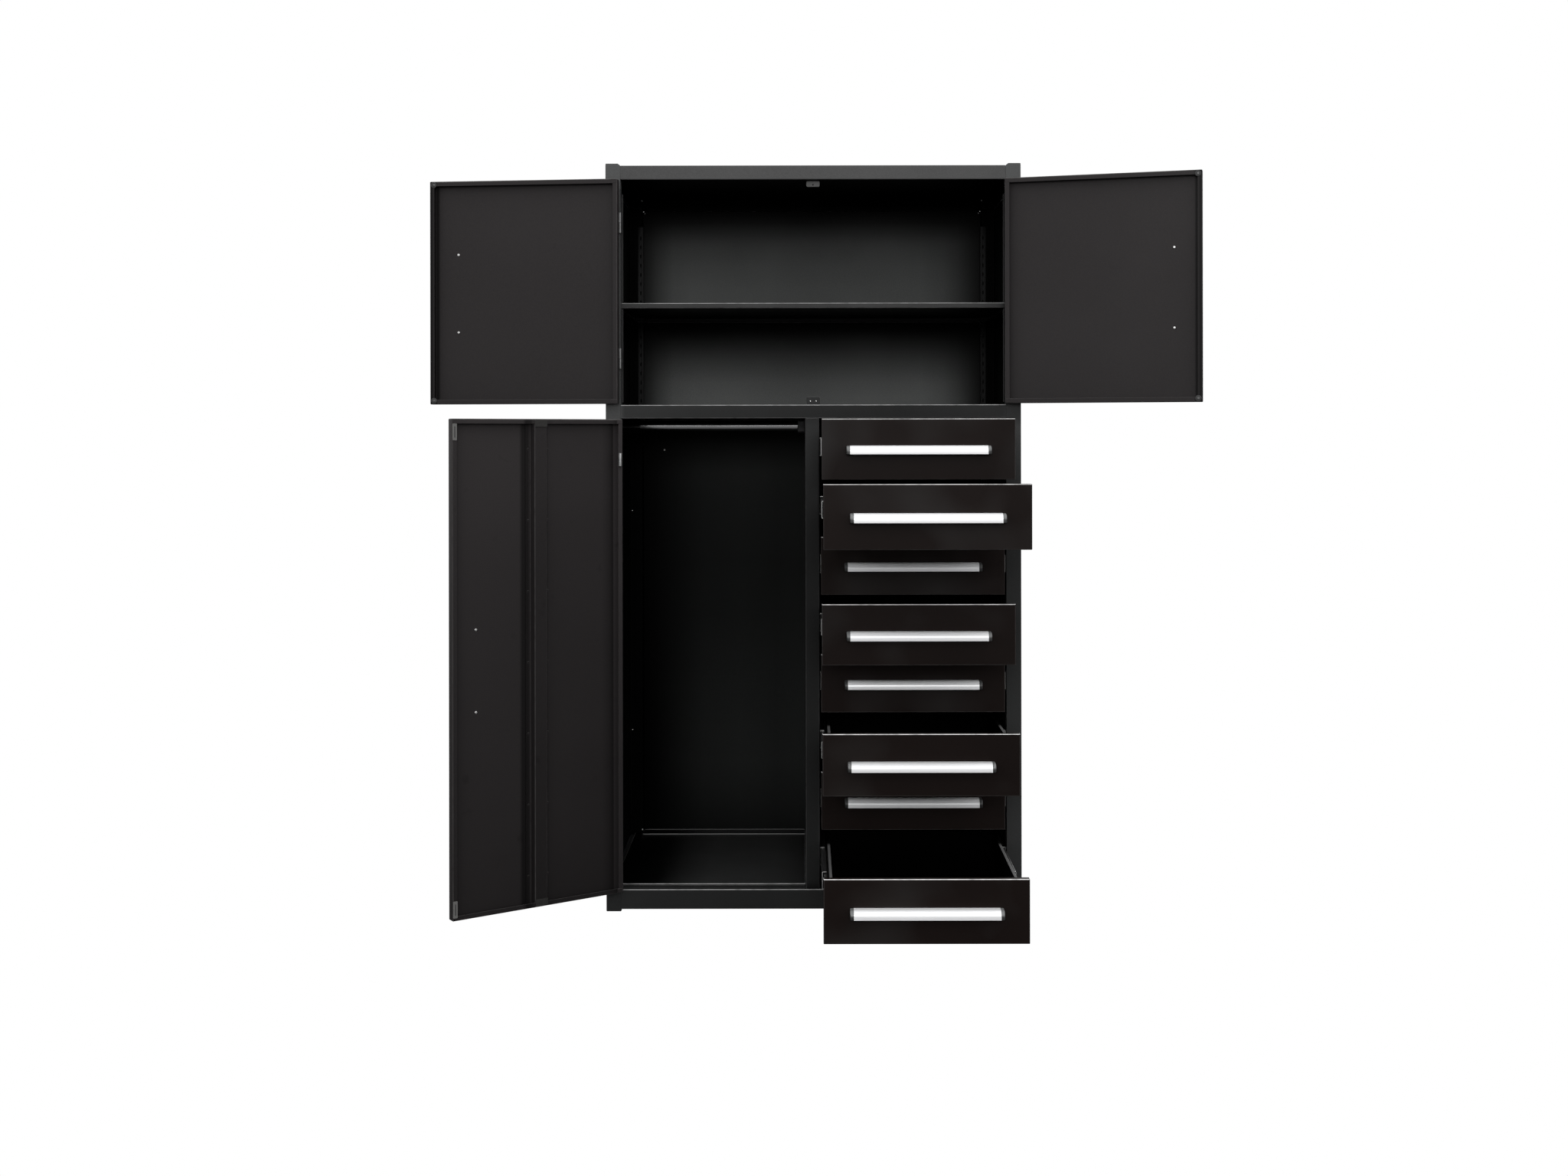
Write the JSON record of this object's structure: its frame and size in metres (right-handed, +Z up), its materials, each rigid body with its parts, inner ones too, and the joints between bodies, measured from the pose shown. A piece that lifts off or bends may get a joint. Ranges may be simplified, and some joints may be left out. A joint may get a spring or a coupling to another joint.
{
  "type": "steel combination storage cabinet",
  "caption": "Tall black steel cabinet: two-door cupboard with shelf over a wardrobe bay with hanging rod and tall door, beside a bank of pull-out drawers with long bar pulls.",
  "frame": {"origin": "on the floor at the centre of the carcass footprint, between the four post feet", "axes": "+X to the right seen from the front, +Y towards the back panel, +Z up; doors and drawers open towards -Y"},
  "size_m": [1.8309, 1.117, 1.8],
  "materials": {
    "black_powder_coat": "fine satin black powder coat",
    "warm_powder_coat": "matt warm dark grey powder coat",
    "zinc_plate": "bright zinc plate",
    "brushed_aluminium": "satin anodised, drawn lengthways",
    "chrome": "polished",
    "dark_plastic": "moulded, matt"
  },
  "bodies": {
    "carcass": {"post_front_left": "black_powder_coat", "post_front_right": "black_powder_coat", "post_rear_left": "black_powder_coat", "post_rear_right": "black_powder_coat", "top_panel": "black_powder_coat", "mid_deck": "black_powder_coat", "base_pan": "black_powder_coat", "base_beam": "black_powder_coat", "side_panel_left": "black_powder_coat", "side_panel_right": "black_powder_coat", "back_panel": "black_powder_coat", "divider": "black_powder_coat", "wardrobe_floor": "black_powder_coat", "shelf": "black_powder_coat", "strike_tab_top": "black_powder_coat", "strike_tab_bottom": "black_powder_coat", "hanging_rod": "chrome", "rod_socket_left": "dark_plastic", "rod_socket_right": "dark_plastic", "slide_plate_left": "zinc_plate", "slide_plate_right": "zinc_plate"},
    "door_upper_left": {"door_upper_left": "warm_powder_coat", "door_upper_left_handle": "brushed_aluminium"},
    "door_upper_right": {"door_upper_right": "warm_powder_coat", "door_upper_right_handle": "brushed_aluminium"},
    "door_tall": {"door_tall": "warm_powder_coat", "door_tall_handle": "brushed_aluminium", "door_stiffener": "warm_powder_coat"},
    "drawer_1": {"drawer_1": "black_powder_coat", "drawer_1_handle": "brushed_aluminium"},
    "drawer_1_slides": {"drawer_1_slide_left": "zinc_plate", "drawer_1_slide_right": "zinc_plate"},
    "drawer_2": {"drawer_2": "black_powder_coat", "drawer_2_handle": "brushed_aluminium"},
    "drawer_2_slides": {"drawer_2_slide_left": "zinc_plate", "drawer_2_slide_right": "zinc_plate"},
    "drawer_3": {"drawer_3": "black_powder_coat", "drawer_3_handle": "brushed_aluminium"},
    "drawer_3_slides": {"drawer_3_slide_left": "zinc_plate", "drawer_3_slide_right": "zinc_plate"},
    "drawer_4": {"drawer_4": "black_powder_coat", "drawer_4_handle": "brushed_aluminium"},
    "drawer_4_slides": {"drawer_4_slide_left": "zinc_plate", "drawer_4_slide_right": "zinc_plate"},
    "drawer_5": {"drawer_5": "black_powder_coat", "drawer_5_handle": "brushed_aluminium"},
    "drawer_5_slides": {"drawer_5_slide_left": "zinc_plate", "drawer_5_slide_right": "zinc_plate"},
    "drawer_6": {"drawer_6": "black_powder_coat", "drawer_6_handle": "brushed_aluminium"},
    "drawer_6_slides": {"drawer_6_slide_left": "zinc_plate", "drawer_6_slide_right": "zinc_plate"},
    "drawer_7": {"drawer_7": "black_powder_coat", "drawer_7_handle": "brushed_aluminium"},
    "drawer_7_slides": {"drawer_7_slide_left": "zinc_plate", "drawer_7_slide_right": "zinc_plate"},
    "drawer_8": {"drawer_8": "black_powder_coat", "drawer_8_handle": "brushed_aluminium"},
    "drawer_8_slides": {"drawer_8_slide_left": "zinc_plate", "drawer_8_slide_right": "zinc_plate"}
  },
  "joints": [
    {"name": "door_upper_left_hinge", "type": "hinge", "parent": "carcass", "child": "door_upper_left", "pos_m": [-0.464, -0.306, 1.49], "axis": [0, 0, -1], "range_deg": [-186, 4]},
    {"name": "door_upper_right_hinge", "type": "hinge", "parent": "carcass", "child": "door_upper_right", "pos_m": [0.464, -0.306, 1.49], "axis": [0, 0, 1], "range_deg": [-164, 26]},
    {"name": "door_tall_hinge", "type": "hinge", "parent": "carcass", "child": "door_tall", "pos_m": [-0.464, -0.306, 0.6195], "axis": [0, 0, -1], "range_deg": [-145.6, 44.4]},
    {"name": "drawer_1_travel", "type": "slide", "parent": "carcass", "child": "drawer_1", "axis": [0, -1, 0], "range_m": [-0.207, 0.293]},
    {"name": "drawer_1_slides_travel", "type": "slide", "parent": "carcass", "child": "drawer_1_slides", "axis": [0, -1, 0], "range_m": [-0.1035, 0.1465]},
    {"name": "drawer_2_travel", "type": "slide", "parent": "carcass", "child": "drawer_2", "axis": [0, -1, 0], "range_m": [-0.491, 0.009]},
    {"name": "drawer_2_slides_travel", "type": "slide", "parent": "carcass", "child": "drawer_2_slides", "axis": [0, -1, 0], "range_m": [-0.2455, 0.0045]},
    {"name": "drawer_3_travel", "type": "slide", "parent": "carcass", "child": "drawer_3", "axis": [0, -1, 0], "range_m": [0, 0.5]},
    {"name": "drawer_3_slides_travel", "type": "slide", "parent": "carcass", "child": "drawer_3_slides", "axis": [0, -1, 0], "range_m": [0, 0.25]},
    {"name": "drawer_4_travel", "type": "slide", "parent": "carcass", "child": "drawer_4", "axis": [0, -1, 0], "range_m": [-0.208, 0.292]},
    {"name": "drawer_4_slides_travel", "type": "slide", "parent": "carcass", "child": "drawer_4_slides", "axis": [0, -1, 0], "range_m": [-0.104, 0.146]},
    {"name": "drawer_5_travel", "type": "slide", "parent": "carcass", "child": "drawer_5", "axis": [0, -1, 0], "range_m": [0, 0.5]},
    {"name": "drawer_5_slides_travel", "type": "slide", "parent": "carcass", "child": "drawer_5_slides", "axis": [0, -1, 0], "range_m": [0, 0.25]},
    {"name": "drawer_6_travel", "type": "slide", "parent": "carcass", "child": "drawer_6", "axis": [0, -1, 0], "range_m": [-0.286, 0.214]},
    {"name": "drawer_6_slides_travel", "type": "slide", "parent": "carcass", "child": "drawer_6_slides", "axis": [0, -1, 0], "range_m": [-0.143, 0.107]},
    {"name": "drawer_7_travel", "type": "slide", "parent": "carcass", "child": "drawer_7", "axis": [0, -1, 0], "range_m": [0, 0.5]},
    {"name": "drawer_7_slides_travel", "type": "slide", "parent": "carcass", "child": "drawer_7_slides", "axis": [0, -1, 0], "range_m": [0, 0.25]},
    {"name": "drawer_8_travel", "type": "slide", "parent": "carcass", "child": "drawer_8", "axis": [0, -1, 0], "range_m": [-0.446, 0.054]},
    {"name": "drawer_8_slides_travel", "type": "slide", "parent": "carcass", "child": "drawer_8_slides", "axis": [0, -1, 0], "range_m": [-0.223, 0.027]}
  ],
  "couplings": [
    {"joint": "drawer_1_slides_travel", "follows": "drawer_1_travel", "ratio": 0.5},
    {"joint": "drawer_2_slides_travel", "follows": "drawer_2_travel", "ratio": 0.5},
    {"joint": "drawer_3_slides_travel", "follows": "drawer_3_travel", "ratio": 0.5},
    {"joint": "drawer_4_slides_travel", "follows": "drawer_4_travel", "ratio": 0.5},
    {"joint": "drawer_5_slides_travel", "follows": "drawer_5_travel", "ratio": 0.5},
    {"joint": "drawer_6_slides_travel", "follows": "drawer_6_travel", "ratio": 0.5},
    {"joint": "drawer_7_slides_travel", "follows": "drawer_7_travel", "ratio": 0.5},
    {"joint": "drawer_8_slides_travel", "follows": "drawer_8_travel", "ratio": 0.5}
  ]
}
